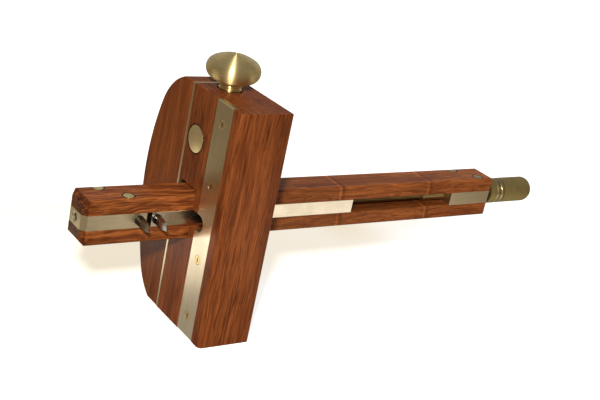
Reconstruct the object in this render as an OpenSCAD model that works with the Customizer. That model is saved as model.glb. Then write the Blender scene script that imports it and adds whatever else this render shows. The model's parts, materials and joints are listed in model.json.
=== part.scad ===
// A wooden mortise gauge for scribing the two sides of a mortise or a tenon at once.
// A slim stem slides through a tall stock. A turned brass knob on top of the stock
// clamps it. One steel cutter is fixed in the brass tip of the stem. The other rides on
// a brass slide let into the stem, and a lead screw at the tail moves it.
// The stock stands on Z = 0, centred on X = 0, and the stem runs along X.

/* [Stock] */
// Thickness of the stock, measured along the stem
stock_t = 23.8; // [19:0.1:32]
// Height of the stock above the stem's axis
stock_top = 52.3; // [43:0.1:64]
// Depth of the stock below the stem's axis
stock_foot = 48.6; // [40:0.1:60]
// Distance from the stem's axis to the flat side of the stock
flat_reach = 29.4; // [24.5:0.1:40]
// Distance from the stem's axis to the fullest point of the rounded side
round_reach = 36.1; // [31:0.1:44]
// Radius of the long curve of the rounded side
side_r = 98; // [82:1:120]
// Radius of the two shoulders where that curve turns towards the top and the foot
shoulder_r = 24.5; // [20:0.5:30]
// Height that the flat top cuts off the upper shoulder's circle
top_cut = 1.3; // [0.8:0.1:4]
// Height that the flat foot cuts off the lower shoulder's circle
foot_cut = 3; // [1:0.1:5]
// Height of the fullest point of the rounded side above the stem's axis
crown_z = 4; // [-4:0.5:6]
// Radius of the upright corner between the flat side and the working face
corner_r = 2.2; // [1:0.1:3]
// Radius of the other upright corner of the flat side
back_corner_r = 0.6; // [0.3:0.1:3]
// Width of the small bevel on the other edges of the stock
stock_ease = 0.7; // [0.3:0.1:1.2]

/* [Brass on the stock] */
// Thickness of the brass liner between the block and the rounded cheek
liner_t = 1.3; // [0.8:0.1:2.5]
// Width of the brass wear strip let into the working face
strip_w = 12; // [9:0.1:14.5]
// Thickness of the wear strip
strip_t = 2.4; // [1.6:0.1:4]
// Distance that the strip stands nearer the stem than the middle of the flat half
strip_shift = 1; // [-1:0.1:2]
// Bevel across the two ends of the wear strip
strip_bevel = 0.4; // [0.3:0.1:1.5]
// Distance from each end of the strip to its outer screw
outer_screw_inset = 8.9; // [5:0.1:12]
// Distance from the middle of the strip to each inner screw
inner_screw_z = 16; // [12:0.1:20]
// Diameter of a strip screw's countersunk head
strip_head_d = 3.8; // [3:0.1:5]
// Height of the straight edge round that head
strip_head_edge = 0.3; // [0.1:0.1:0.6]
// Diameter of a strip screw's shank
strip_screw_d = 2.2; // [1.6:0.1:2.6]
// Length of a strip screw
strip_screw_len = 12; // [8:0.5:16]
// Width of the slot across its head
slot_w = 0.5; // [0.3:0.1:0.9]
// Depth of that slot
slot_depth = 0.6; // [0.3:0.1:0.9]

/* [Stem] */
// Width of the stem, across the stock
stem_w = 13.6; // [12:0.1:16.4]
// Height of the stem
stem_h = 19; // [15.8:0.1:24]
// Length that the stem stands out of the working face
tip_reach = 47.4; // [39:0.1:60]
// Length of the stem
stem_len = 216.4; // [204:0.1:260]
// Bevel round each end of the stem
end_bevel = 2; // [0.5:0.1:2.5]
// Small bevel along the stem's long edges
stem_ease = 0.5; // [0.2:0.1:1]
// Gap between the stem and each side of its mortise
stem_gap = 0.2; // [0.1:0.05:0.4]
// Gap between the stem and the floor of its mortise, and between the stem and the pad
floor_gap = 0.05; // [0.03:0.01:0.2]

/* [Lock] */
// Thickness of the brass pad that presses on the stem
pad_t = 1.7; // [1.4:0.1:3]
// Distance from each face of the stock to the pad
pad_recess = 2.7; // [0.5:0.1:5]
// Height that the pad lifts when the knob is slackened
pad_lift = 0.7; // [0.3:0.1:1.5]
// Height of the cross nut's axis above the stem's axis
nut_z = 31.2; // [26:0.1:34]
// Diameter of the cross nut
nut_d = 11.4; // [9:0.1:13.8]
// Diameter of the lock screw
lock_screw_d = 6; // [5:0.1:7.2]
// Gap between the lock screw and its hole through the wood
lock_gap = 0.3; // [0.1:0.1:0.8]
// Diameter of the nose that turns in the pad's socket
nose_d = 3.8; // [3.4:0.1:4.2]
// Diameter of the neck behind that nose
nose_neck_d = 2.8; // [2:0.1:3]
// Largest diameter of the turned knob
knob_d = 22.2; // [18:0.1:28]
// Height of the turned oval of the knob
knob_h = 12.6; // [10.4:0.1:16]
// Radius of the knob's rim
knob_rim_r = 4.6; // [3.6:0.1:4.9]
// Height of the oval's underside above the stock
knob_stand = 1.9; // [1.5:0.1:4]
// Diameter of the knob's bead and of its flared collar
collar_d = 9.4; // [9:0.1:10]
// Brass round the screw at the narrow foot of the collar
collar_wall = 0.5; // [0.3:0.1:0.8]
// Height of the collar's widest edge above the stock
collar_edge_z = 0.4; // [0.3:0.1:0.9]
// Radius of the bead between the collar and the oval
bead_r = 0.6; // [0.4:0.1:0.8]
// Diameter of the recess that the collar sinks into
recess_d = 10.6; // [10.2:0.1:13]
// Depth of that recess
recess_depth = 2.6; // [2:0.1:4]
// Gap between the collar's foot and the floor of the recess
collar_gap = 1; // [0.8:0.1:1.6]

/* [Slide and cutters] */
// Height of the channel for the slide, which is the height of all the brass in the stem
channel_h = 6.3; // [5.6:0.1:7.6]
// Brass between the slide's screw hole and its back
slide_wall = 1.3; // [0.8:0.1:2]
// Length of the brass block in the tip
tip_block_len = 27.4; // [23:0.1:34]
// Length of the brass block in the tail
tail_block_len = 26.7; // [22:0.1:33]
// Open gap between the tip block and the slide at rest
slide_rest_gap = 2.2; // [1.2:0.1:4]
// Length of the slide
slide_len = 100.6; // [84:0.1:106]
// Gap between the slide and each wall of its channel
slide_gap = 0.05; // [0.03:0.01:0.15]
// Diameter of each cutter
cutter_d = 3.9; // [3.2:0.1:4.7]
// Length that each cutter stands out of the stem
cutter_reach = 7.5; // [5:0.1:10]
// Brass between the fixed cutter and the inner end of its block
fixed_cutter_wall = 1.05; // [0.4:0.05:2]
// Brass between the moving cutter and the end of the slide
moving_cutter_wall = 0.65; // [0.4:0.05:2]
// Brass of the slide behind the root of the moving cutter
moving_cutter_floor = 1; // [0.5:0.1:1.4]
// Thickness of each cutter's edge, where its two bevels meet
cutter_edge = 0.3; // [0.1:0.1:0.8]
// Slope of each of the two bevels
bevel_angle = 16; // [12:1:30]
// Lean of the cutters' edges from upright
cutter_lean = 15; // [0:1:20]
// Gap between a cutter and the sides of the relief pocket in the face
relief_gap = 1.55; // [0.5:0.05:2]
// Gap between a cutter's point and the end of that pocket
relief_end_gap = 2.3; // [0.5:0.1:3]
// Depth of the relief pocket
relief_depth = 16; // [14:0.1:18]
// Diameter of the grub screw behind the fixed cutter
grub_d = 3; // [2.5:0.1:3.2]
// Length of the grub screw
grub_len = 6; // [4:0.5:10]
// Distance of the grub screw's hole from the stem's axis
grub_y = 0.5; // [0:0.1:1]
// Width and depth of the countersink at the mouth of that hole
grub_sink = 0.7; // [0.3:0.1:1]
// Width of the grub screw's socket across its corners
socket_d = 1.7; // [1.4:0.1:2]
// Depth of that socket
socket_depth = 1.8; // [1:0.1:2.4]
// Diameter of the brass pins through the two blocks
pin_d = 4.5; // [3.8:0.1:5.4]
// Distance between the two pins of a block, along the stem
pin_step = 8.9; // [7:0.1:10]
// Brass between the fixed cutter and the nearer pin
pin_wall = 0.5; // [0.3:0.1:1.5]
// Distance from the tail to the nearer pin
tail_pin_inset = 9.1; // [7:0.1:10]
// Distance from the back of the stem to the axes of the pins near it
back_pin_inset = 1.2; // [1:0.1:2]
// Distance from the front of the stem to the axes of the other pins
front_pin_inset = 3.3; // [3:0.1:3.6]

/* [Adjuster] */
// Diameter of the lead screw
lead_d = 4; // [3:0.1:4.8]
// Length of the lead screw's free end inside the slide at rest
lead_grip = 30; // [20:1:36]
// Travel that opens the slide, where the screw's end meets the bottom of its hole
slide_travel = 26; // [10:1:28]
// Depth of the screw hole past the screw's end at full travel
hole_spare = 0.4; // [0.2:0.1:2]
// Gap between the collar on the lead screw and each wall of the channel
sleeve_gap = 0.55; // [0.2:0.05:0.7]
// Length of that collar
sleeve_len = 13.2; // [6:0.1:16]
// End play between the collar and the tail block
thrust_gap = 0.1; // [0.05:0.05:0.3]
// Diameter of the adjuster knob
adjuster_d = 12.3; // [10.2:0.1:14.8]
// Length of the adjuster knob
adjuster_len = 30.8; // [28:0.1:41]
// Radius that rounds the adjuster's outer end
adjuster_round = 4.6; // [2:0.1:5]
// Gap between the tail and the adjuster
adjuster_gap = 0.2; // [0.1:0.05:0.5]
// Length of the lead screw inside the adjuster
adjuster_grip = 20.2; // [12:0.1:24]
// Distance from the adjuster's inner end to its turned groove
groove_x = 7.4; // [5:0.1:9]
// Width of that groove
groove_w = 0.9; // [0.4:0.1:1.4]
// Depth of that groove
groove_depth = 0.7; // [0.3:0.1:1]

/* [Hidden] */
$fn = 72;
// Running fit of a screw or a shaft in its hole, on the radius
running = 0.05;
// Glue line or press fit between pieces that don't move on each other
snug = 0.01;
// Length that a cut runs past the surface that it opens
over = 1;
// A size larger than the whole gauge, for half planes
vast = 500;
// How far a shoulder's circle crosses the long curve, so that they meet in one edge
meet = 0.01;

// Places along X
face_x = -stock_t / 2;
back_x = stock_t / 2;
tip_x = face_x - tip_reach;
tail_x = tip_x + stem_len;
tip_inner_x = tip_x + tip_block_len;
tail_inner_x = tail_x - tail_block_len;
slide_x = tip_inner_x + slide_rest_gap;
slide_end_x = slide_x + slide_len;
fixed_cutter_x = tip_inner_x - fixed_cutter_wall - cutter_d / 2;
moving_cutter_x = slide_x + moving_cutter_wall + cutter_d / 2;
tip_pin_x = fixed_cutter_x - cutter_d / 2 - pin_wall - pin_d / 2;
tail_pin_x = tail_x - tail_pin_inset;
grub_end_x = fixed_cutter_x - cutter_d / 2 - snug;
adjuster_x = tail_x + adjuster_gap;
lead_x = slide_end_x - lead_grip;
lead_end_x = adjuster_x + adjuster_grip;
lead_hole_x = lead_x - slide_travel - hole_spare;

// Heights
stem_z = stock_foot;
top_z = stem_z + stock_top;
stem_top_z = stem_z + stem_h / 2;
stem_foot_z = stem_z - stem_h / 2;
pad_z = stem_top_z + floor_gap;
ceiling_z = pad_z + pad_t + pad_lift + running;
mortise_floor_z = stem_foot_z - floor_gap;
knob_z = top_z + knob_stand + knob_h / 2;

// Places along Y
mortise_y = stem_w / 2 + stem_gap;
cheek_y = mortise_y + liner_t;
side_y = -stem_w / 2;
channel_y = lead_d / 2 + running + slide_wall + slide_gap;
strip_mid_y = strip_shift - (flat_reach + mortise_y) / 2;
cutter_tip_y = side_y - cutter_reach;
back_pin_y = -side_y - back_pin_inset;
front_pin_y = side_y + front_pin_inset;

tip_pins_at = [[tip_pin_x - pin_step, back_pin_y], [tip_pin_x, front_pin_y]];
tail_pins_at = [[tail_pin_x - pin_step, back_pin_y], [tail_pin_x, front_pin_y]];

// The lock screw's nose sits in a socket in the pad, held under a lip
nose_t = 0.6;
nose_lip = 0.5;
nose_z = pad_z + pad_t - nose_lip - nose_t;

module along_x(x) translate([x, 0, 0]) rotate([0, 90, 0]) children();

// Lays a drawing made across (Y, Z) out along X
module drawn_across(x, length) translate([x, 0, 0]) rotate([90, 0, 90])
    linear_extrude(length) children();

// Extends a drawing made across (X, Z) along Y, both ways
module drawn_along() rotate([90, 0, 0]) linear_extrude(vast, center = true) children();

module bevelled_rect(x0, x1, y0, y1, c) polygon([
    [x0, y0 + c], [x0 + c, y0], [x1 - c, y0], [x1, y0 + c],
    [x1, y1 - c], [x1 - c, y1], [x0 + c, y1], [x0, y1 - c]]);

// Half plane on the left of a line through the origin at this angle
module half_plane(angle) rotate(angle) translate([-vast, 0]) square([2 * vast, vast]);

// The rounded side: one long arc that runs into a tighter arc at each shoulder
module rounded_outline() {
    centre = [round_reach - side_r, stem_z + crown_z];
    step = side_r - shoulder_r;
    top_angle = asin((top_z - shoulder_r + top_cut - centre.y) / step);
    foot_angle = asin((shoulder_r - foot_cut - centre.y) / step);
    shoulder_y = centre.x + step * min(cos(top_angle), cos(foot_angle));
    intersection() {
        translate([cheek_y, 0]) square([vast, top_z]);
        union() {
            intersection() {
                translate(centre) circle(side_r, $fn = 180);
                translate(centre) half_plane(foot_angle);
                translate(centre) half_plane(180 + top_angle);
            }
            for (angle = [top_angle, foot_angle])
                translate(centre + (step + meet) * [cos(angle), sin(angle)])
                    circle(shoulder_r);
            // Fills the cheek between the block and the two shoulders
            translate([shoulder_y - vast, 0]) square([vast, top_z]);
        }
    }
}

// The relief pocket for the cutters, drawn across (Y, Z): a slot with a round end
module relief_outline() {
    relief_r = cutter_d / 2 + relief_gap;
    relief_y = cutter_tip_y - relief_end_gap + relief_r;
    translate([relief_y, stem_z]) circle(relief_r);
    translate([relief_y, stem_z - relief_r]) square([-relief_y, 2 * relief_r]);
}

module strip_screw_places() {
    middle_z = top_z / 2;
    outer_screw_z = middle_z - outer_screw_inset;
    for (z = [-outer_screw_z, -inner_screw_z, inner_screw_z, outer_screw_z])
        translate([face_x, strip_mid_y, middle_z + z]) rotate([0, 90, 0]) children();
}

// A countersunk screw, or its hole, with its head at the face
module countersunk(extra) {
    head_r = strip_head_d / 2 + extra;
    shank_r = strip_screw_d / 2 + extra;
    rotate_extrude() polygon([[0, 0], [head_r, 0], [head_r, strip_head_edge],
        [shank_r, strip_head_edge + head_r - shank_r], [shank_r, strip_screw_len + extra],
        [0, strip_screw_len + extra]]);
}

// Seen from above, the half of the block towards +X, with its corner rounded
module half_block_outline(r) {
    translate([back_x - r, r - flat_reach]) circle(r);
    translate([-over, -flat_reach]) square([back_x - r + over, flat_reach]);
    translate([-over, r - flat_reach]) square([back_x + over, flat_reach - r + mortise_y - snug]);
}

module stock_block() color("#8a4526") difference() {
    intersection() {
        linear_extrude(top_z) {
            half_block_outline(back_corner_r);
            mirror([1, 0]) half_block_outline(corner_r);
        }
        drawn_along() bevelled_rect(face_x, back_x, 0, top_z, stock_ease);
        drawn_across(face_x, stock_t)
            bevelled_rect(-flat_reach, vast, 0, top_z, stock_ease);
    }
    translate([face_x - over, -mortise_y, mortise_floor_z])
        cube([stock_t + 2 * over, 2 * mortise_y + over, ceiling_z - mortise_floor_z]);
    drawn_across(face_x - over, relief_depth + over) relief_outline();
    translate([face_x - over, strip_mid_y - strip_w / 2 - snug, -over])
        cube([strip_t + snug + over, strip_w + 2 * snug, top_z + 2 * over]);
    strip_screw_places() countersunk(snug);
    along_x(face_x - over) translate([-stem_z - nut_z, 0, 0])
        cylinder(h = stock_t + 2 * over, d = nut_d + 2 * snug);
    translate([0, 0, ceiling_z - over])
        cylinder(h = top_z - ceiling_z + 2 * over, r = lock_screw_d / 2 + lock_gap);
    translate([0, 0, top_z - recess_depth]) cylinder(h = recess_depth + over, d = recess_d);
}

module round_cheek() color("#7d3c22") intersection() {
    drawn_across(face_x, stock_t) rounded_outline();
    drawn_along() bevelled_rect(face_x, back_x, 0, top_z, stock_ease);
}

module liner_plate() color("#a89560") intersection() {
    translate([face_x, mortise_y, 0]) cube([stock_t, liner_t - snug, top_z]);
    drawn_along() bevelled_rect(face_x, back_x, 0, top_z, stock_ease);
}

module wear_strip() color("#b0a070") difference() {
    intersection() {
        translate([face_x, strip_mid_y - strip_w / 2, 0]) cube([strip_t, strip_w, top_z]);
        drawn_along() bevelled_rect(face_x, back_x, 0, top_z, strip_bevel);
    }
    drawn_across(face_x - over, relief_depth + over) relief_outline();
    strip_screw_places() countersunk(snug);
}

module strip_screws() color("#c9b878") strip_screw_places() difference() {
    countersunk(0);
    translate([-strip_head_d, -slot_w / 2, -over])
        cube([2 * strip_head_d, slot_w, over + slot_depth]);
}

module barrel_nut() color("#b3a062") difference() {
    along_x(face_x) translate([-stem_z - nut_z, 0, 0]) cylinder(h = stock_t, d = nut_d);
    translate([0, 0, stem_z + nut_z - nut_d])
        cylinder(h = 2 * nut_d, r = lock_screw_d / 2 + running);
}

module pressure_pad() color("#a89560") difference() {
    translate([face_x + pad_recess, side_y, pad_z])
        cube([stock_t - 2 * pad_recess, stem_w, pad_t]);
    socket_r = nose_d / 2 + running;
    neck_r = nose_neck_d / 2 + running;
    translate([0, 0, nose_z - running]) rotate_extrude() polygon([[0, 0], [socket_r, 0],
        [socket_r, nose_t + running], [neck_r, nose_t + running], [neck_r, pad_t], [0, pad_t]]);
}

// The knob's oval is drawn with three arcs: a tight rim between two flatter crowns
module oval_outline() {
    half = knob_h / 2;
    reach = knob_d / 2 - knob_rim_r;
    crown_r = (reach * reach + half * half - knob_rim_r * knob_rim_r)
        / (2 * (half - knob_rim_r));
    touch = crown_r / (crown_r - knob_rim_r) * reach;
    intersection() {
        translate([0, half - crown_r]) circle(crown_r, $fn = 144);
        translate([0, crown_r - half]) circle(crown_r, $fn = 144);
        translate([0, -half]) square([touch, knob_h]);
    }
    translate([reach, 0]) circle(knob_rim_r);
}

// Below the oval come a neck, a bead, and a collar that narrows into the stock
module lock_knob() color("#b59f5a") difference() {
    collar_r = collar_d / 2;
    chamfer = bead_r / 2;
    bead_z = top_z + knob_stand;
    rotate_extrude() intersection() {
        union() {
            translate([0, knob_z]) oval_outline();
            translate([0, top_z]) square([collar_r - 1.5 * bead_r, knob_z - top_z]);
            translate([collar_r - bead_r, bead_z]) circle(bead_r);
            translate([0, bead_z - bead_r]) square([collar_r - bead_r, 2 * bead_r]);
            polygon([[0, top_z - recess_depth + collar_gap],
                [lock_screw_d / 2 + collar_wall, top_z - recess_depth + collar_gap],
                [collar_r, top_z + collar_edge_z],
                [collar_r - chamfer, top_z + collar_edge_z + chamfer],
                [0, top_z + collar_edge_z + chamfer]]);
        }
        square([vast, vast]);
    }
    translate([0, 0, -over]) cylinder(h = knob_z + over, d = lock_screw_d + 2 * snug);
}

module lock_screw() color("#9a8a55") {
    screw_r = lock_screw_d / 2;
    neck_r = nose_neck_d / 2;
    nose_top_z = nose_z + nose_t - running;
    shoulder_z = pad_z + pad_t + running;
    rotate_extrude() polygon([[0, nose_z], [nose_d / 2, nose_z], [nose_d / 2, nose_top_z],
        [neck_r, nose_top_z], [neck_r, shoulder_z], [screw_r - nose_t, shoulder_z],
        [screw_r, shoulder_z + nose_t], [screw_r, knob_z - snug], [0, knob_z - snug]]);
}

// The whole stem before its channel is cut. The brass blocks are planed to it as well.
module stem_blank() intersection() {
    translate([0, 0, stem_z - stem_h]) linear_extrude(2 * stem_h)
        bevelled_rect(tip_x, tail_x, side_y, -side_y, end_bevel);
    drawn_along() bevelled_rect(tip_x, tail_x, stem_foot_z, stem_top_z, end_bevel);
    drawn_across(tip_x, stem_len)
        bevelled_rect(side_y, -side_y, stem_foot_z, stem_top_z, stem_ease);
}

module pins_at(places, extra) {
    for (place = places) translate([place.x, place.y, stem_z - stem_h])
        cylinder(h = 2 * stem_h, d = pin_d + 2 * extra);
}

// The space between the stem's two cheeks, from one place along X to another
module brass_layer(x0, x1, y1, gap) translate([x0, -stem_w, stem_z - channel_h / 2 + gap])
    cube([x1 - x0, y1 + stem_w, channel_h - 2 * gap]);

module lead_bore() translate([0, 0, stem_z]) along_x(tail_inner_x - over)
    cylinder(h = tail_block_len + 2 * over, r = lead_d / 2 + running);

module grub_bore() translate([0, grub_y, stem_z]) {
    along_x(tip_x - over) cylinder(h = fixed_cutter_x - tip_x + over, d = grub_d + 2 * snug);
    along_x(tip_x) cylinder(h = grub_sink, d1 = grub_d + 2 * grub_sink, d2 = grub_d);
}

module stem_wood() color("#9a4f2b") difference() {
    stem_blank();
    brass_layer(tip_x - over, tip_inner_x, stem_w, 0);
    brass_layer(tip_inner_x - over, tail_inner_x + over, channel_y, 0);
    brass_layer(tail_inner_x, tail_x + over, stem_w, 0);
    pins_at(tip_pins_at, snug);
    pins_at(tail_pins_at, snug);
}

module tip_block() color("#b0a070") difference() {
    intersection() {
        stem_blank();
        brass_layer(tip_x - over, tip_inner_x - snug, stem_w, snug);
    }
    pins_at(tip_pins_at, snug);
    translate([fixed_cutter_x, -stem_w, stem_z]) rotate([-90, 0, 0])
        cylinder(h = stem_w + channel_y + snug, d = cutter_d + 2 * snug);
    grub_bore();
}

module tail_block() color("#b0a070") difference() {
    intersection() {
        stem_blank();
        brass_layer(tail_inner_x + snug, tail_x + over, stem_w, snug);
    }
    pins_at(tail_pins_at, snug);
    lead_bore();
}

// The bores are drilled after the pins are in, so they also cut any pin that they touch
module tip_pins() color("#c2ad66") difference() {
    intersection() {
        stem_blank();
        pins_at(tip_pins_at, 0);
    }
    grub_bore();
}

module tail_pins() color("#c2ad66") difference() {
    intersection() {
        stem_blank();
        pins_at(tail_pins_at, 0);
    }
    lead_bore();
}

// A round cutter along Y, ground from both sides to an edge that stands nearly upright
module cutter(x, root_y) translate([x, cutter_tip_y, stem_z]) rotate([0, -cutter_lean, 0])
    difference() {
        rotate([-90, 0, 0]) cylinder(h = root_y - cutter_tip_y, d = cutter_d);
        for (side = [0, 1]) mirror([side, 0, 0]) translate([cutter_edge / 2, 0, 0])
            rotate([0, 0, -bevel_angle]) translate([0, -cutter_d, -cutter_d])
                cube([cutter_d, 5 * cutter_d, 2 * cutter_d]);
    }

module fixed_cutter() color("#c8cacb") cutter(fixed_cutter_x, channel_y);

module cutter_grub_screw() color("#3a3a3c") translate([0, grub_y, stem_z])
    along_x(grub_end_x - grub_len) difference() {
        cylinder(h = grub_len, d = grub_d);
        translate([0, 0, -over]) cylinder(h = over + socket_depth, d = socket_d, $fn = 6);
    }

module slide_bar() color("#bcab78") difference() {
    translate([slide_x, side_y, stem_z - channel_h / 2 + slide_gap])
        cube([slide_len, channel_y - slide_gap - side_y, channel_h - 2 * slide_gap]);
    translate([moving_cutter_x, -stem_w, stem_z]) rotate([-90, 0, 0])
        cylinder(h = stem_w + channel_y - moving_cutter_floor + snug, d = cutter_d + 2 * snug);
    translate([0, 0, stem_z]) along_x(lead_hole_x)
        cylinder(h = slide_end_x - lead_hole_x + over, r = lead_d / 2 + running);
}

module moving_cutter() color("#c8cacb")
    cutter(moving_cutter_x, channel_y - moving_cutter_floor);

module lead_screw() color("#8f7d45") translate([0, 0, stem_z]) along_x(lead_x)
    cylinder(h = lead_end_x - lead_x, d = lead_d);

module thrust_sleeve() color("#bfae70") translate([0, 0, stem_z])
    along_x(tail_inner_x - thrust_gap - sleeve_len) difference() {
        cylinder(h = sleeve_len, d = channel_h - 2 * sleeve_gap);
        translate([0, 0, -over]) cylinder(h = sleeve_len + 2 * over, r = lead_d / 2 + snug);
    }

module adjuster_knob() color("#8f7c46") translate([0, 0, stem_z]) along_x(adjuster_x)
    difference() {
        rotate_extrude() {
            r = adjuster_d / 2;
            body_x = groove_x + groove_w;
            square([r, groove_x]);
            translate([0, groove_x - over]) square([r - groove_depth, groove_w + 2 * over]);
            translate([0, body_x]) square([r, adjuster_len - body_x - adjuster_round]);
            translate([0, body_x]) square([r - adjuster_round, adjuster_len - body_x]);
            intersection() {
                translate([r - adjuster_round, adjuster_len - adjuster_round])
                    circle(adjuster_round);
                square([vast, vast]);
            }
        }
        translate([0, 0, -over]) cylinder(h = adjuster_grip + over + snug, r = lead_d / 2 + snug);
    }

stock_block();
round_cheek();
liner_plate();
wear_strip();
strip_screws();
barrel_nut();
pressure_pad();
lock_knob();
lock_screw();
stem_wood();
tip_block();
tail_block();
tip_pins();
tail_pins();
fixed_cutter();
cutter_grub_screw();
slide_bar();
moving_cutter();
lead_screw();
thrust_sleeve();
adjuster_knob();
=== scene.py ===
import json
import math

import bmesh
import bpy
from mathutils import Matrix, Quaternion, Vector


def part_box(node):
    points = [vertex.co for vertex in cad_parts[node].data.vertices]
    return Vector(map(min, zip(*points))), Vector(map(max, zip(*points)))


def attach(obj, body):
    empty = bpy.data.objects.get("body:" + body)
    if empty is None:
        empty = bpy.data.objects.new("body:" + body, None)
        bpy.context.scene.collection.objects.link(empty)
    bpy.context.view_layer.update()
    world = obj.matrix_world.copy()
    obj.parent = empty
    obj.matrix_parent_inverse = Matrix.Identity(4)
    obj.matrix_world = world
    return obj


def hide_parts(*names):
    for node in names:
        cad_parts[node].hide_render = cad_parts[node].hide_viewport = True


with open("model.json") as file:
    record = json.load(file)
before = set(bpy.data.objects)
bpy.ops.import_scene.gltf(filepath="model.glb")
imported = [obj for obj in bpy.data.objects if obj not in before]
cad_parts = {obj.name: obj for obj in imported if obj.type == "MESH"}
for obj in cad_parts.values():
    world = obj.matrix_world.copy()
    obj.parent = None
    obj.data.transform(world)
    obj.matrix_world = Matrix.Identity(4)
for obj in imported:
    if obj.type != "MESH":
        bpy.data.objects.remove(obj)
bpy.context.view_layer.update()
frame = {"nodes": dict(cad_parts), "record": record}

MM = 0.001
RECORD = frame["record"]
BODY_OF = {node: body for body, nodes in RECORD["behaviour"]["bodies"].items() for node in nodes}


def span(node):
    """The lowest and highest corners of a CAD node, in millimetres."""
    low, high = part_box(node)
    return low / MM, high / MM


# Places and sizes that come from the frame
block_low, block_high = span("stock_block")
cheek_low, cheek_high = span("round_cheek")
liner_low, liner_high = span("liner_plate")
strip_low, strip_high = span("wear_strip")
stem_low, stem_high = span("stem_wood")
nut_low, nut_high = span("barrel_nut")
pad_low, pad_high = span("pressure_pad")
slide_low, slide_high = span("slide_bar")
tip_block_low, tip_block_high = span("tip_block")
tail_block_low = span("tail_block")[0]
knob_low, knob_high = span("lock_knob")
adjuster_low, adjuster_high = span("adjuster_knob")
sleeve_low, sleeve_high = span("thrust_sleeve")
lead_low, lead_high = span("lead_screw")
grub_low, grub_high = span("cutter_grub_screw")

face_x = block_low.x
back_x = block_high.x
flat_y = block_low.y
top_z = block_high.z
stem_z = (stem_low.z + stem_high.z) / 2
side_y = stem_low.y
nut_z = (nut_low.z + nut_high.z) / 2
nut_r = (nut_high.z - nut_low.z) / 2
strip_y = (strip_low.y + strip_high.y) / 2
liner_y = (liner_low.y + liner_high.y) / 2
cutter_tip_y = span("fixed_cutter")[0].y
fixed_cutter_x = (span("fixed_cutter")[0].x + span("fixed_cutter")[1].x) / 2
moving_cutter_x = (span("moving_cutter")[0].x + span("moving_cutter")[1].x) / 2

# Gaps. The ring round a piece let in is drawn wide enough to show as a dark line
RING_GAP = 0.08
CLEARANCE = 0.05
HAIRLINE = 0.10
PRESS_FIT = 0.02

# The share of an edge's rounding that is left where two pieces meet
CRISP = 0.10

# Sizes that the frame's boxes don't give, first those of the stock
CORNER_R = 2.2
BACK_CORNER_R = 0.6
SIDE_R = 98
SHOULDER_R = 24.5
TOP_CUT = 1.3
FOOT_CUT = 3
CROWN_Z = 4
MORTISE_GAP = 0.2
PAD_LIFT = 0.75
PAD_CLEAR = 1.8
PAD_SOCKET_R = 1.95
PAD_SOCKET_DEPTH = 1.1
RELIEF_R = 3.5
RELIEF_END_Y = cutter_tip_y - 2.3
RELIEF_DEPTH = 16
RECESS_R = 5.3
RECESS_DEPTH = 2.6
LOCK_HOLE_R = 3.3
NUT_THREAD_R = 3.05
STRIP_BEVEL = 0.4
SCREW_HEAD_R = 1.9
SCREW_INSET = 8.9
SCREW_MIDDLE = 16

# The stem and what it holds
END_BEVEL = 2
STEM_EASE = 0.5
CHANNEL_BACK_Y = slide_high.y + CLEARANCE
CHANNEL_H = tip_block_high.z - tip_block_low.z + PRESS_FIT
THROUGH_Y = 10
PIN_D = 4.5
PIN_STEP = 8.9
BACK_PIN_INSET = 1.2
FRONT_PIN_INSET = 3.3
CUTTER_D = 3.9
LEAD_R = 2
SLIDE_BORE_END = lead_low.x - 26.5
THREAD_PITCH = 0.7
THREAD_DEPTH = 0.40
BEVEL_ANGLE = 16
EDGE_T = 0.3
EDGE_LEAN = 15
GRUB_R = 1.5
GRUB_Y = 0.5
SINK = 0.7
GROOVE_X = 7.4
GROOVE_W = 0.9

# Pale and dark figure in the stem's wood: where it crosses, and how much paler
BANDS = ((69.4, 1.0, 0.58), (121.2, 1.0, 0.50))
TAIL_FIGURE_X = 110

ceiling_z = pad_high.z + PAD_LIFT
gap_y = -side_y + MORTISE_GAP
tip_pin_x = span("tip_pins")[1].x - PIN_D / 2
tail_pin_x = span("tail_pins")[1].x - PIN_D / 2
back_pin_y = stem_high.y - BACK_PIN_INSET
front_pin_y = side_y + FRONT_PIN_INSET
STEM_AXIS = (0, stem_z)


# Shader maths

class Wire:
    """A node's output. Arithmetic on it adds Math nodes."""

    def __init__(self, shade, socket):
        self.shade = shade
        self.socket = socket

    def maths(self, operation, first, second):
        return self.shade.add("Math", {"operation": operation}, {0: first, 1: second})

    def __add__(self, other):
        return self.maths("ADD", self, other)

    def __radd__(self, other):
        return self.maths("ADD", other, self)

    def __sub__(self, other):
        return self.maths("SUBTRACT", self, other)

    def __rsub__(self, other):
        return self.maths("SUBTRACT", other, self)

    def __mul__(self, other):
        return self.maths("MULTIPLY", self, other)

    def __rmul__(self, other):
        return self.maths("MULTIPLY", other, self)

    def __truediv__(self, other):
        return self.maths("DIVIDE", self, other)

    def __rtruediv__(self, other):
        return self.maths("DIVIDE", other, self)

    def __pow__(self, other):
        return self.maths("POWER", self, other)

    def __abs__(self):
        return self.maths("ABSOLUTE", self, 0)


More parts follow.
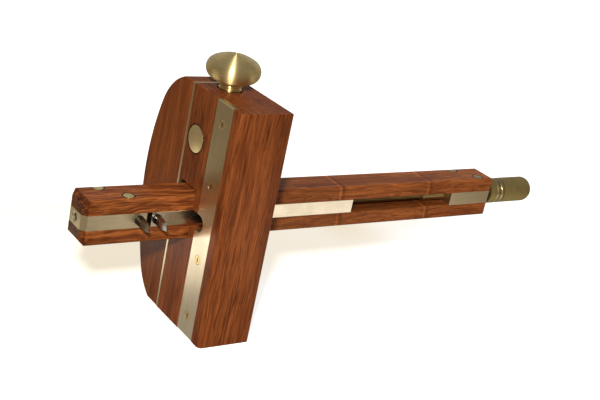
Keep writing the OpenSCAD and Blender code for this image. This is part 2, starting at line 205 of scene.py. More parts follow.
class Shade:
    """A node tree, and the one method that adds nodes to it."""

    def __init__(self, tree):
        self.tree = tree
        tree.nodes.clear()

    def add(self, kind, settings=None, sockets=None, output=0):
        """Adds a node. Its settings come first, then the values or links of its sockets."""
        node = self.tree.nodes.new("ShaderNode" + kind)
        for key, value in (settings or {}).items():
            if key == "stops":
                while len(node.color_ramp.elements) < len(value):
                    node.color_ramp.elements.new(1)
                for element, (position, colour) in zip(node.color_ramp.elements, value):
                    element.position = position
                    element.color = (*colour, 1)
            else:
                setattr(node, key, value)
        for key, value in (sockets or {}).items():
            socket = node.inputs[key]
            if isinstance(value, Wire):
                self.tree.links.new(value.socket, socket)
            elif socket.type == "RGBA" and len(value) == 3:
                socket.default_value = (*value, 1)
            else:
                socket.default_value = value
        return Wire(self, node.outputs[output]) if node.outputs else None

    def place(self):
        """Where the shaded point lies in the frame, in millimetres."""
        metres = self.add("TexCoord", output="Object")
        return self.stretch(metres, (1 / MM,) * 3)

    def stretch(self, vector, factors):
        return self.add("VectorMath", {"operation": "MULTIPLY"}, {0: vector, 1: factors})

    def shift(self, vector, other):
        return self.add("VectorMath", {"operation": "ADD"}, {0: vector, 1: other})

    def noise(self, vector, scale, detail=3, roughness=0.55, output="Fac"):
        sockets = {"Vector": vector, "Scale": scale, "Detail": detail, "Roughness": roughness}
        return self.add("TexNoise", None, sockets, output)

    def mix(self, factor, first, second, blend="MIX"):
        settings = {"data_type": "RGBA", "blend_type": blend}
        return self.add("Mix", settings, {0: factor, 6: first, 7: second}, 2)

    def ease(self, value, low, high, to_low=0, to_high=1):
        """Maps low..high to to_low..to_high with a smooth step."""
        settings = {"interpolation_type": "SMOOTHSTEP"}
        sockets = {0: value, 1: low, 2: high, 3: to_low, 4: to_high}
        return self.add("MapRange", settings, sockets)

    def stock_shade_mask(self, here):
        """1 deep in the mortise or in the relief pocket, where shade is painted in."""
        x, y, z = self.axes(here)
        inside = self.ease(x, face_x + 0.3, face_x + 3.2)
        inside = inside * self.ease(abs(y), -side_y + 0.5, -side_y + 0.7, 1, 0)
        inside = inside * self.ease(x, back_x - 3.2, back_x - 0.3, 1, 0)
        inside = inside * self.ease(z, ceiling_z + 0.05, ceiling_z + 0.3, 1, 0)
        inside = inside * self.ease(z, stem_low.z - 0.4, stem_low.z - 0.15)
        pocket = self.ease(x, face_x + 0.8, face_x + 5) * self.ease(y, side_y, side_y - 0.2)
        pocket_end = face_x + RELIEF_DEPTH
        pocket = pocket * self.ease(x, pocket_end + 0.1, pocket_end + 0.5, 1, 0)
        pocket = pocket * self.ease(abs(z - stem_z), RELIEF_R + 0.1, RELIEF_R + 0.3, 1, 0)
        pocket = pocket * self.ease(y, RELIEF_END_Y - 0.5, RELIEF_END_Y - 0.2)
        return 1 - (1 - inside) * (1 - pocket)

    def bump(self, height, distance, strength):
        sockets = {"Height": height, "Distance": distance * MM, "Strength": strength}
        return self.add("Bump", None, sockets)

    def axes(self, vector):
        split = self.add("SeparateXYZ", None, {0: vector})
        outputs = split.socket.node.outputs
        return [Wire(self, outputs[i]) for i in range(3)]

    def surface(self, sockets):
        """Ends the tree with a Principled shader that has these sockets."""
        shader = self.add("BsdfPrincipled", None, sockets)
        self.add("OutputMaterial", None, {"Surface": shader})


def new_shade(name):
    material = bpy.data.materials.new(name)
    material.use_nodes = True
    return material, Shade(material.node_tree)


# Finishes

TURNING_LINES = 7.0
DEEP = (0.50, 0.40, 0.40)
# Painted sheen on faces that look up
TOP_PAINTED_SHEEN = 1.26
# Painted shade deep in the mortise and the relief pocket
STOCK_PAINTED_SHADE = 0.88
# Painted shade inside the stem's open channel
CHANNEL_PAINTED_SHADE = 0.45
TOP_TONE = 0.94


def wood(name, grain_axis, offset, light, dark, rings, wave, line_depth, contrast, dash_depth,
         end_tone, pore_length=7.7, foot_lift=None, bands=(), seams=()):
    """Oiled hardwood whose grain runs along one axis. Offset picks the stretch of tree, rings
    says how fast the dark growth lines follow each other along X, Y and Z, and wave how much
    they sway. Foot lift pales the wood towards the foot, bands are pale stripes across the
    stem, and seams are rings of dark glue round the pieces let in."""
    material, s = new_shade(name)
    here = s.place()
    place = s.shift(here, offset)

    def drawn_out(across, length):
        factors = [across] * 3
        factors[grain_axis] = length
        return tuple(factors)

    def figure(vector, across, along, detail, roughness, output="Fac"):
        # Across and along the grain, in waves to the millimetre
        return s.noise(s.stretch(vector, drawn_out(across, along)), 1, detail, roughness, output)

    sway = figure(place, 0.09, 0.035, 2, 0.5, "Color")
    sway = s.stretch(s.shift(sway, (-0.5,) * 3), (6 * wave,) * 3)
    swayed = s.shift(place, sway)
    board = figure(swayed, 0.12, 0.012, 2, 0.5)
    streak = figure(swayed, 0.95, 0.030, 3, 0.62)
    fibre = figure(swayed, 3.0, 0.09, 3, 0.6)
    dash = figure(swayed, 1.7, 1 / pore_length, 2, 0.5)
    growth = s.noise(s.stretch(swayed, rings), 1, 1, 0.4)
    strength = figure(place, 0.14, 0.04, 2, 0.5)

    x, y, z = s.axes(here)
    # The stem's figure is boldest at the tip
    calm = s.ease(x, -15, 35, 1, 0.5) if bands else 1.0
    tone = 0.5 + ((board - 0.5) * (0.9 * contrast) + (streak - 0.5) * (1.3 * contrast)) * calm
    tone = s.ease(tone, 0.22, 0.78)
    middle = tuple(0.45 * a + 0.55 * b for a, b in zip(light, dark))
    colour = s.add("ValToRGB", {"stops": [(0.0, dark), (0.5, middle), (1.0, light)]}, {0: tone})
    deep = tuple(c * k for c, k in zip(dark, DEEP))
    line = s.ease(abs(growth - 0.5), 0.004, 0.050, 1, 0) * s.ease(strength, 0.34, 0.60, 0.2, 1)
    colour = s.mix(line * line_depth * calm, colour, deep)
    dashes = s.ease(dash, 0.53, 0.66)
    colour = s.mix(dashes * dash_depth, colour, deep)
    fine = s.ease(fibre, 0.30, 0.70, 0.80, 1.18)
    normal = s.add("TexCoord", output="Normal")
    facing = s.axes(normal)
    end = s.ease(abs(facing[grain_axis]), 0.35, 0.85)
    shade = fine * (1 - end * (1 - end_tone))
    # Painted sheen: faces that look up are drawn paler
    shade = shade * s.ease(facing[2], 0.6, 0.95, 1, TOP_PAINTED_SHEEN)
    if bands:
        wander = x + 0.10 * z + 2.4 * s.noise(here, 0.16, 2, 0.5)
        for at, half, lift in bands:
            near = s.ease(abs(wander - at), 0.25 * half, half, 1, 0)
            shade = shade * (1 + near * lift)
            beside = s.ease(abs(wander - at - 1.6 * half), 0.3 * half, 1.4 * half, 1, 0)
            shade = shade * (1 - beside * (0.5 * lift))
        shade = shade * s.ease(wander, TAIL_FIGURE_X, TAIL_FIGURE_X + 4, 1, 0.92)
        shade = shade * s.ease(x, 20, 150, 1, 1.50)
        # Painted shade inside the open channel
        channel = s.ease(abs(z - stem_z), CHANNEL_H / 2 + 0.06, CHANNEL_H / 2 + 0.2, 1, 0)
        channel = channel * s.ease(y, side_y + 0.3, side_y + 1.2)
        shade = shade * (1 - CHANNEL_PAINTED_SHADE * channel)
    else:
        # Painted shade deep in the mortise and the relief pocket
        shade = shade * (1 - STOCK_PAINTED_SHADE * s.stock_shade_mask(here))
    if foot_lift:
        shade = shade * s.ease(z, 0, top_z, foot_lift, TOP_TONE)
    for axis, a, b, r in seams:
        # The axis, the centre across it and the radius
        across = [part for number, part in enumerate((x, y, z)) if number != axis]
        away = ((across[0] - a) ** 2 + (across[1] - b) ** 2) ** 0.5
        shade = shade * s.ease(abs(away - r), 0.25, 0.75, 0.10, 1)
    tint = s.add("CombineColor", None, {0: shade, 1: shade, 2: shade})
    colour = s.mix(1.0, colour, tint, "MULTIPLY")
    rough = s.ease(fibre, 0.25, 0.75, 0.34, 0.46) + 0.10 * end
    height = 0.5 * fibre - 0.5 * line - 0.4 * dashes
    s.surface({
        "Base Color": colour, "Roughness": rough, "Normal": s.bump(height, 0.05, 0.5),
        "Coat Weight": 0.07, "Coat Roughness": 0.18, "Specular IOR Level": 0.05})
    return material


def brushed(name, along_axis, colour, dull, roughness, depth, coat=0.0, shade_inside=False,
            painted_reflection=None, end_tone=None):
    """Metal rubbed along one axis, with faint scratches and a broad, uneven tarnish. Painted
    shade blackens it inside the stock, and a painted reflection changes its tone with height."""
    material, s = new_shade(name)
    place = s.place()
    fine_factors = [9.0, 9.0, 9.0]
    fine_factors[along_axis] = 0.10
    coarse_factors = [2.2, 2.2, 2.2]
    coarse_factors[along_axis] = 0.035
    fine = s.noise(s.stretch(place, tuple(fine_factors)), 1, 3, 0.65)
    coarse = s.noise(s.stretch(place, tuple(coarse_factors)), 1, 2, 0.6)
    cloud = s.noise(place, 0.06, 3, 0.6)
    tarnish = s.ease(cloud, 0.40, 0.70) * 0.55 + s.ease(coarse, 0.45, 0.75) * 0.30
    tint = s.mix(tarnish, colour, dull)
    line = s.ease(fine, 0.25, 0.75, 0.84, 1.12)
    lines = s.add("CombineColor", None, {0: line, 1: line, 2: line})
    tint = s.mix(1.0, tint, lines, "MULTIPLY")
    # Painted reflection: a tone that follows height
    if painted_reflection:
        height_z = s.axes(place)[2] / top_z
        tint = s.mix(1.0, tint, s.add("ValToRGB", {"stops": painted_reflection}, {0: height_z}), "MULTIPLY")
    # Painted shade: black inside the stock
    if shade_inside:
        tint = s.mix(s.stock_shade_mask(place), tint, (0.03, 0.025, 0.02))
    if end_tone:
        facing = s.axes(s.add("TexCoord", output="Normal"))
        tint = s.mix(s.ease(abs(facing[along_axis]), 0.8, 0.95), tint, end_tone)
    rough = roughness + 0.08 * tarnish + 0.08 * (fine - 0.5)
    height = fine + 0.5 * coarse
    s.surface({
        "Base Color": tint, "Metallic": 1.0, "Roughness": rough, "Coat Weight": coat,
        "Coat Roughness": 0.08, "Normal": s.bump(height, 0.03, depth)})
    return material


def turned(name, axis, centre, colour, dull, roughness, depth, brushing=0.0, coat=0.0,
           seam_shade=None):
    """Metal finished on a lathe: fine lines run round the axis, and none run along it. Seam
    shade is where along the axis painted shade starts and where it has faded out."""
    material, s = new_shade(name)
    place = s.place()
    x, y, z = s.axes(place)
    length, a, b = (x, y, z) if axis == 0 else (z, x, y)
    a = a - centre[0]
    b = b - centre[1]
    radius = (a * a + b * b) ** 0.5
    ring = s.add("CombineXYZ", None, {0: radius, 1: length, 2: 0.0})
    fine = s.noise(ring, TURNING_LINES, 3, 0.7)
    coarse = s.noise(ring, TURNING_LINES / 6, 2, 0.6)
    cloud = s.noise(place, 0.11, 3, 0.6)
    tarnish = s.ease(cloud, 0.38, 0.72) * 0.5 + s.ease(coarse, 0.45, 0.8) * 0.3
    tint = s.mix(tarnish, colour, dull)
    if seam_shade:
        # Painted shade, darkest where the span starts
        tint = s.mix(s.ease(length, *seam_shade, 0.9, 0), tint, (0.03, 0.022, 0.01))
    rough = roughness + 0.12 * tarnish
    s.surface({
        "Base Color": tint, "Metallic": 1.0, "Roughness": rough, "Anisotropic": brushing,
        "Anisotropic Rotation": 0.25, "Coat Weight": coat, "Coat Roughness": 0.12,
        "Normal": s.bump(fine + 0.4 * coarse, 0.03, depth)})
    return material


def plain_metal(name, colour, dull, roughness, root=None):
    """Small metal pieces: a mottled tone and an uneven gloss. Root is the axis and the places
    along it where a piece turns black, and its tone there."""
    material, s = new_shade(name)
    place = s.place()
    mottle = s.noise(place, 0.9, 4, 0.6)
    grain = s.noise(place, 6, 3, 0.6)
    tint = s.mix(s.ease(mottle, 0.35, 0.7), colour, dull)
    if root:
        axis, start, end, black = root
        tint = s.mix(s.ease(s.axes(place)[axis], start, end), tint, black)
    rough = roughness + 0.2 * (mottle - 0.5)
    s.surface({
        "Base Color": tint, "Metallic": 1.0, "Roughness": rough,
        "Normal": s.bump(grain, 0.02, 0.25)})
    return material


def across_floor():
    """White in the light and painted cream in shadow to the camera, a painted lit sheet to the
    metal.
    """
    material, s = new_shade("paper")
    place = s.place()

    def near(x, y, inner, outer):
        offset = s.add("VectorMath", {"operation": "DISTANCE"}, {0: place, 1: (x, y, 0)}, "Value")
        return s.ease(offset, inner, outer, 1, 0)

    # Painted light for the metal to mirror: a dim sheet, bright patches for the slide and the
    # strip
    base = s.mix(near(90, -60, 170, 260), (0.25, 0.195, 0.13), (0.44, 0.41, 0.36))
    mirrored = s.mix(near(115, -104, 45, 112), base, (1.56, 1.50, 1.38))
    mirrored = s.mix(near(-70, 65, 15, 66), mirrored, (2.5, 2.4, 2.2))
    sheet = s.add("Emission", None, {"Color": mirrored, "Strength": 1.0})
    bounce = s.add("BsdfDiffuse", None, {"Color": (0.38, 0.35, 0.30)})
    glossy = s.add("LightPath", output="Is Glossy Ray")
    unseen = s.add("MixShader", None, {0: glossy, 1: bounce, 2: sheet})
    # What the camera sees: white, with cream painted where the gauge's shadow falls
    lit = s.add("BsdfDiffuse", None, {"Color": (1.0, 1.0, 1.0)})
    glow = s.mix(near(-40, 0, 95, 260), (1.0, 1.0, 1.0), (0.80, 0.79, 0.78))
    cream = near(-25, 58, 55, 90) + 0.75 * near(92, 56, 25, 72)
    cream = cream + 0.55 * near(150, 72, 10, 45) + 0.35 * near(195, 74, 8, 35)
    glow = s.mix(cream, glow, (0.71, 0.62, 0.47))
    glow = s.add("Emission", None, {"Color": glow, "Strength": 1.0})
    seen = s.add("AddShader", None, {0: lit, 1: glow})
    camera = s.add("LightPath", output="Is Camera Ray")
    mixed = s.add("MixShader", None, {0: camera, 1: unseen, 2: seen})
    s.add("OutputMaterial", None, {"Surface": mixed})
    return material


# Mesh making

def placed(axis, a, b, along):
    """A point given across an axis, as (a, b), and along it."""
    return [(along, a, b), (a, along, b), (a, b, along)][axis]


def mesh_piece(name, bm, smooth_under=30):
    """Turns a bmesh in millimetres into an object in metres."""
    bmesh.ops.remove_doubles(bm, verts=bm.verts, dist=1e-4)
    bmesh.ops.recalc_face_normals(bm, faces=bm.faces)
    bmesh.ops.transform(bm, matrix=Matrix.Scale(MM, 4), verts=bm.verts)
    mesh = bpy.data.meshes.new(name)
    bm.to_mesh(mesh)
    bm.free()
    piece = bpy.data.objects.new(name, mesh)
    bpy.context.scene.collection.objects.link(piece)
    soften(piece, smooth_under)
    return piece


def soften(piece, smooth_under=30):
    piece.data.shade_smooth()
    piece.data.set_sharp_from_angle(angle=math.radians(smooth_under))


def prism(name, outline, axis, low, high):
    """An outline drawn across an axis, drawn out along it."""
    bm = bmesh.new()
    ends = [[bm.verts.new(placed(axis, a, b, along)) for a, b in outline] for along in (low, high)]
    count = len(outline)
    for end in ends:
        bm.faces.new(end)
    for i in range(count):
        j = (i + 1) % count
        bm.faces.new((ends[0][i], ends[0][j], ends[1][j], ends[1][i]))
    return mesh_piece(name, bm)


def arc(centre, r, start, end, steps):
    """Points on a circle, from one angle to another, in degrees."""
    return [
        (centre[0] + r * math.cos(math.radians(start + (end - start) * i / steps)),
         centre[1] + r * math.sin(math.radians(start + (end - start) * i / steps)))
        for i in range(steps + 1)]


def circle(centre, r, steps):
    return arc(centre, r, 0, 360 * (1 - 1 / steps), steps - 1)


def rod(name, axis, centre, r, low, high, steps=72):
    return prism(name, circle(centre, r, steps), axis, low, high)


def brick(name, low, high):
    outline = [(low[0], low[1]), (high[0], low[1]), (high[0], high[1]), (low[0], high[1])]
    return prism(name, outline, 2, low[2], high[2])


def bevelled_rect(a0, a1, b0, b1, c):
    return [(a0, b0 + c), (a0 + c, b0), (a1 - c, b0), (a1, b0 + c),
            (a1, b1 - c), (a1 - c, b1), (a0 + c, b1), (a0, b1 - c)]


def spun(name, profile, axis, centre, steps=144, smooth_under=30):
    """Points of (place along the axis, radius), turned about the axis."""
    bm = bmesh.new()
    rings = []
    for along, r in profile:
        if r < 1e-6:
            rings.append([bm.verts.new(placed(axis, *centre, along))])
        else:
            points = circle(centre, r, steps)
            rings.append([bm.verts.new(placed(axis, a, b, along)) for a, b in points])
    for inner, outer in zip(rings, rings[1:]):
        for i in range(steps):
            j = (i + 1) % steps
            corners = [inner[i % len(inner)], inner[j % len(inner)],
                       outer[j % len(outer)], outer[i % len(outer)]]
            bm.faces.new(list(dict.fromkeys(corners)))
    return mesh_piece(name, bm, smooth_under)


def combine(body, others, operation="DIFFERENCE"):
    """Cuts the other pieces out of body, or keeps what they share, and removes them."""
    for other in others:
        modifier = body.modifiers.new("cut", "BOOLEAN")
        modifier.operation = operation
        modifier.solver = "EXACT"
        modifier.object = other
    depsgraph = bpy.context.evaluated_depsgraph_get()
    mesh = bpy.data.meshes.new_from_object(body.evaluated_get(depsgraph))
    body.modifiers.clear()
    body.data = mesh
    for other in others:
        bpy.data.objects.remove(other)
    bm = bmesh.new()
    bm.from_mesh(mesh)
    bmesh.ops.remove_doubles(bm, verts=bm.verts, dist=2e-7)
    bmesh.ops.dissolve_limit(bm, angle_limit=math.radians(0.3), verts=bm.verts, edges=bm.edges)
    bm.to_mesh(mesh)
    bm.free()
    soften(body)
    return body


def ease_edges(piece, width, share_of=lambda middle: 1.0, steps=3, sharper_than=25):
    """Rounds the sharp edges. share_of gives the share of the width at a place in millimetres."""
    bm = bmesh.new()
    bm.from_mesh(piece.data)
    weight = bm.edges.layers.float.get("bevel_weight_edge")
    weight = weight or bm.edges.layers.float.new("bevel_weight_edge")
    for edge in bm.edges:
        if len(edge.link_faces) == 2 and edge.calc_face_angle() > math.radians(sharper_than):
            middle = (edge.verts[0].co + edge.verts[1].co) / (2 * MM)
            edge[weight] = share_of(middle)
    bm.to_mesh(piece.data)
    bm.free()
    modifier = piece.modifiers.new("eased edges", "BEVEL")
    modifier.width = width * MM
    modifier.limit_method = "WEIGHT"
    modifier.segments = steps
    modifier.harden_normals = True
    modifier.use_clamp_overlap = True
    return piece


def stands_for(piece, node, material):
    """Gives a piece its finish, and puts it in the place of a CAD node."""
    piece.data.materials.clear()
    piece.data.materials.append(material)
    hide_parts(node)
    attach(piece, BODY_OF[node])
    return piece


def keep_node(node, material):
    """Gives a CAD node a finish in each of its own material slots."""
    for slot in frame["nodes"][node].material_slots:
        slot.material = material


# The materials, one for each finish

TIP_PINS = ((2, tip_pin_x - PIN_STEP, back_pin_y, PIN_D / 2),
            (2, tip_pin_x, front_pin_y, PIN_D / 2))
TAIL_PINS = ((2, tail_pin_x - PIN_STEP, back_pin_y, PIN_D / 2),
             (2, tail_pin_x, front_pin_y, PIN_D / 2))

block_wood = wood(
    "block_wood", grain_axis=2, offset=(3, 40, 7), light=(0.330, 0.090, 0.022),
    dark=(0.125, 0.030, 0.008), rings=(0.48, 0.05, 0.014), wave=0.45, line_depth=0.60,
    contrast=0.55, dash_depth=0.55, end_tone=1.0, pore_length=13, foot_lift=1.20,
    seams=((0, 0, nut_z, nut_r),))
cheek_wood = wood(
    "cheek_wood", grain_axis=2, offset=(91, 13, 50), light=(0.300, 0.082, 0.020),
    dark=(0.135, 0.032, 0.009), rings=(0.10, 0.12, 0.006), wave=0.35, line_depth=0.25,
    contrast=0.65, dash_depth=0.25, end_tone=0.95)
stem_finish = wood(
    "stem_finish", grain_axis=0, offset=(0, 200, 31), light=(0.430, 0.128, 0.030),
    dark=(0.130, 0.030, 0.008), rings=(0.022, 0.30, 0.30), wave=1.3, line_depth=0.75,
    contrast=1.10, dash_depth=0.35, end_tone=0.40, bands=BANDS, seams=TIP_PINS + TAIL_PINS)

# Painted reflection: the strip is brightest at the stem's height, dimmer below, dimmer still above
STRIP_PAINTED_REFLECTION = (
    (0.0, (0.72, 0.72, 0.72)), (0.42, (0.72, 0.72, 0.72)), (0.46, (1.0, 0.96, 0.96)),
    (0.54, (1.0, 0.92, 0.88)), (0.60, (0.76, 0.74, 0.68)), (0.70, (0.60, 0.58, 0.50)),
    (1.0, (0.60, 0.58, 0.50)))
strip_brass = brushed(
    "strip_brass", 2, (0.98, 0.82, 0.56), (0.84, 0.69, 0.45), roughness=0.36, depth=0.22,
    coat=0.7, painted_reflection=STRIP_PAINTED_REFLECTION)
# Painted shade: the liner is black inside the stock
liner_brass = brushed(
    "liner_brass", 2, (0.60, 0.50, 0.30), (0.42, 0.34, 0.18), roughness=0.38, depth=0.3,
    shade_inside=True)
stem_brass = brushed(
    "stem_brass", 0, (0.74, 0.61, 0.40), (0.56, 0.45, 0.27), roughness=0.34, depth=0.30,
    end_tone=(0.40, 0.32, 0.16))
slide_brass = brushed(
    "slide_brass", 0, (0.70, 0.61, 0.48), (0.58, 0.50, 0.37), roughness=0.24, depth=0.25)
tail_brass = brushed(
    "tail_brass", 0, (0.62, 0.50, 0.32), (0.50, 0.40, 0.24), roughness=0.36, depth=0.30)
nut_brass = brushed(
    "nut_brass", 1, (0.74, 0.60, 0.31), (0.56, 0.44, 0.21), roughness=0.42, depth=0.3)

knob_brass = turned(
    "knob_brass", 2, (0, 0), (0.86, 0.67, 0.31), (0.60, 0.46, 0.19), roughness=0.44,
    depth=0.15, brushing=0.96)
# Painted shade where the adjuster meets the stem's end
adjuster_brass = turned(
    "adjuster_brass", 0, STEM_AXIS, (0.44, 0.33, 0.13), (0.28, 0.20, 0.07), roughness=0.50,
    depth=0.3, seam_shade=(adjuster_low.x + 0.1, adjuster_low.x + 1.6))
bead_brass = turned(
    "bead_brass", 0, STEM_AXIS, (0.36, 0.27, 0.11), (0.26, 0.19, 0.07), roughness=0.34,
    depth=0.1, coat=1.0)
thread_brass = turned(
    "thread_brass", 0, STEM_AXIS, (0.30, 0.23, 0.10), (0.18, 0.13, 0.05), roughness=0.36,
    depth=0.2)
sleeve_brass = turned(
    "sleeve_brass", 0, STEM_AXIS, (0.50, 0.38, 0.18), (0.36, 0.27, 0.12), roughness=0.34,
    depth=0.2)

# Painted shade: below the face each screw is black, down in its slot
screw_brass = plain_metal(
    "screw_brass", (0.78, 0.60, 0.28), (0.55, 0.40, 0.16), roughness=0.34,
    root=(0, face_x + 0.07, face_x + 0.14, (0.02, 0.02, 0.02)))
pin_brass = plain_metal(
    "pin_brass", (0.84, 0.71, 0.32), (0.66, 0.54, 0.22), roughness=0.40)
dull_pin_brass = plain_metal(
    "dull_pin_brass", (0.50, 0.40, 0.22), (0.36, 0.28, 0.14), roughness=0.42)
pad_brass = plain_metal(
    "pad_brass", (0.66, 0.55, 0.34), (0.48, 0.39, 0.22), roughness=0.36)
cutter_steel = plain_metal(
    "cutter_steel", (0.50, 0.50, 0.47), (0.30, 0.29, 0.26), roughness=0.22,
    root=(1, -10.2, -8.2, (0.10, 0.09, 0.08)))
# Painted reflection: the fixed cutter is tinted dark khaki by the brass it mirrors; it is also
# black near the stem
brass_tinted_steel = plain_metal(
    "brass_tinted_steel", (0.27, 0.24, 0.17), (0.16, 0.14, 0.09), roughness=0.42,
    root=(1, -11.0, -9.0, (0.04, 0.035, 0.03)))
black_steel = plain_metal(
    "black_steel", (0.05, 0.05, 0.055), (0.02, 0.02, 0.022), roughness=0.42)


# The stock

def relief_cutter(name):
    """The slot with a round end that the cutters draw back into."""
    middle_y = RELIEF_END_Y + RELIEF_R
    outline = arc((middle_y, stem_z), RELIEF_R, 90, 270, 28)
    outline += [(0, stem_z - RELIEF_R), (0, stem_z + RELIEF_R)]
    return prism(name, outline, 0, face_x - 1, face_x + RELIEF_DEPTH)


def make_block():
    corners = arc((face_x + CORNER_R, flat_y + CORNER_R), CORNER_R, 180, 270, 10)
    corners += arc((back_x - BACK_CORNER_R, flat_y + BACK_CORNER_R), BACK_CORNER_R, 270, 360, 6)
    outline = corners + [(back_x, block_high.y), (face_x, block_high.y)]
    block = prism("block", outline, 2, 0, top_z)
    cutters = [
        brick("mortise", (face_x - 1, -gap_y, stem_low.z - CLEARANCE),
              (back_x + 1, 20, ceiling_z)),
        relief_cutter("relief"),
        brick("seat", (face_x - 1, strip_low.y - PRESS_FIT, -1),
              (strip_high.x, strip_high.y + PRESS_FIT, top_z + 1)),
        rod("nut_hole", 0, (0, nut_z), nut_r + RING_GAP, face_x - 1, back_x + 1),
        rod("lock_hole", 2, (0, 0), LOCK_HOLE_R, ceiling_z - 1, top_z + 1),
        rod("recess", 2, (0, 0), RECESS_R, top_z - RECESS_DEPTH, top_z + 1)]
    combine(block, cutters)

    def share(middle):
        inlay = strip_low.y - 1 < middle.y < strip_high.y + 1 and middle.x < strip_high.x + 1
        round_nut = abs(middle.z - nut_z) < nut_r + 1 and abs(middle.y) < nut_r + 1
        joint = middle.y > block_high.y - 0.5
        # Sharp where pieces meet, fuller round the mortise and fullest outside
        if inlay and abs(middle.z - stem_z) > RELIEF_R + 1:
            return CRISP
        if round_nut or joint:
            return CRISP
        if stem_low.z - 1 < middle.z < ceiling_z + 1 and abs(middle.y) < gap_y + 1:
            return 0.45
        if abs(middle.z - stem_z) < RELIEF_R + 1:
            return 0.25
        return 1.0

    ease_edges(block, 0.55, share)
    return stands_for(block, "stock_block", block_wood)


def make_cheek():
    centre = (cheek_high.y - SIDE_R, stem_z + CROWN_Z)
    step = SIDE_R - SHOULDER_R
    top_angle = math.degrees(math.asin((top_z - SHOULDER_R + TOP_CUT - centre[1]) / step))
    foot_angle = math.degrees(math.asin((SHOULDER_R - FOOT_CUT - centre[1]) / step))
    top_end = math.degrees(math.asin(1 - TOP_CUT / SHOULDER_R))
    foot_end = -math.degrees(math.asin(1 - FOOT_CUT / SHOULDER_R))
    outline = [(cheek_low.y, 0)]
    for angle, start, end in ((foot_angle, foot_end, foot_angle), (top_angle, top_angle, top_end)):
        shoulder = arc(centre, step, angle, angle, 1)[0]
        outline += arc(shoulder, SHOULDER_R, start, end, 16)
        if angle == foot_angle:
            outline += arc(centre, SIDE_R, foot_angle, top_angle, 30)[1:-1]
    outline.append((cheek_low.y, top_z))
    cheek = prism("cheek", outline, 0, face_x, back_x)
    ease_edges(cheek, 0.6, lambda middle: CRISP if middle.y < cheek_low.y + 0.1 else 1.0,
               sharper_than=17)
    return stands_for(cheek, "round_cheek", cheek_wood)


def make_liner():
    liner = brick("liner", (face_x, liner_low.y, 0), (back_x, liner_high.y, top_z))
    ease_edges(liner, 0.5, lambda middle: 0.8 if abs(middle.y - liner_y) < 0.3 else CRISP)
    return stands_for(liner, "liner_plate", liner_brass)


def screw_places():
    middle_z = top_z / 2
    outer = middle_z - SCREW_INSET
    return [middle_z + z for z in (-outer, -SCREW_MIDDLE, SCREW_MIDDLE, outer)]


def make_strip():
    outline = [(face_x, STRIP_BEVEL), (face_x + STRIP_BEVEL, 0), (strip_high.x, 0),
               (strip_high.x, top_z), (face_x + STRIP_BEVEL, top_z), (face_x, top_z - STRIP_BEVEL)]
    strip = prism("strip", outline, 1, strip_low.y, strip_high.y)
    holes = [rod("screw_hole", 0, (strip_y, z), SCREW_HEAD_R + 0.03, face_x - 1, strip_high.x + 1)
             for z in screw_places()]
    combine(strip, [relief_cutter("relief"), *holes])
    ease_edges(strip, 0.16, lambda middle: 1.0 if middle.x < face_x + 1 else 0.0)
    return stands_for(strip, "wear_strip", strip_brass)


def make_strip_screws():
    """Countersunk screws filed flush, with what is left of each slot."""
    slot_r, slot_half = 0.26, 0.79
    for number, z in enumerate(screw_places(), 1):
        profile = [(face_x + 0.02, 0), (face_x + 0.025, SCREW_HEAD_R * 0.6),
                   (face_x + 0.05, SCREW_HEAD_R - 0.08), (face_x + 0.12, SCREW_HEAD_R),
                   (strip_high.x, SCREW_HEAD_R), (strip_high.x, 0)]
        head = spun(f"strip_screw_{number}", profile, 0, (strip_y, z), 48)
        ends = arc((strip_y, z + slot_half), slot_r, 0, 180, 8)
        ends += arc((strip_y, z - slot_half), slot_r, 180, 360, 8)
        combine(head, [prism("slot", ends, 0, face_x - 1, face_x + 0.55)])
        ease_edges(head, 0.04, steps=2)
        stands_for(head, "strip_screws", screw_brass)


def make_nut():
    """The cross nut shows a round end in each face of the stock."""
    r = nut_r - RING_GAP / 2
    profile = [(face_x, 0), (face_x, r - 0.14), (face_x + 0.05, r - 0.04), (face_x + 0.14, r),
               (back_x - 0.14, r), (back_x - 0.05, r - 0.04), (back_x, r - 0.14), (back_x, 0)]
    nut = spun("nut", profile, 0, (0, nut_z), 96)
    combine(nut, [rod("screw_way", 2, (0, 0), NUT_THREAD_R, nut_z - 2 * r, nut_z + 2 * r)])
    return stands_for(nut, "barrel_nut", nut_brass)


def make_pad():
    pad = brick("pad", pad_low, (pad_high.x, pad_high.y - PAD_CLEAR, pad_high.z))
    socket = rod("socket", 2, (0, 0), PAD_SOCKET_R, pad_high.z - PAD_SOCKET_DEPTH, pad_high.z + 1)
    combine(pad, [socket])
    ease_edges(pad, 0.25)
    return stands_for(pad, "pressure_pad", pad_brass)


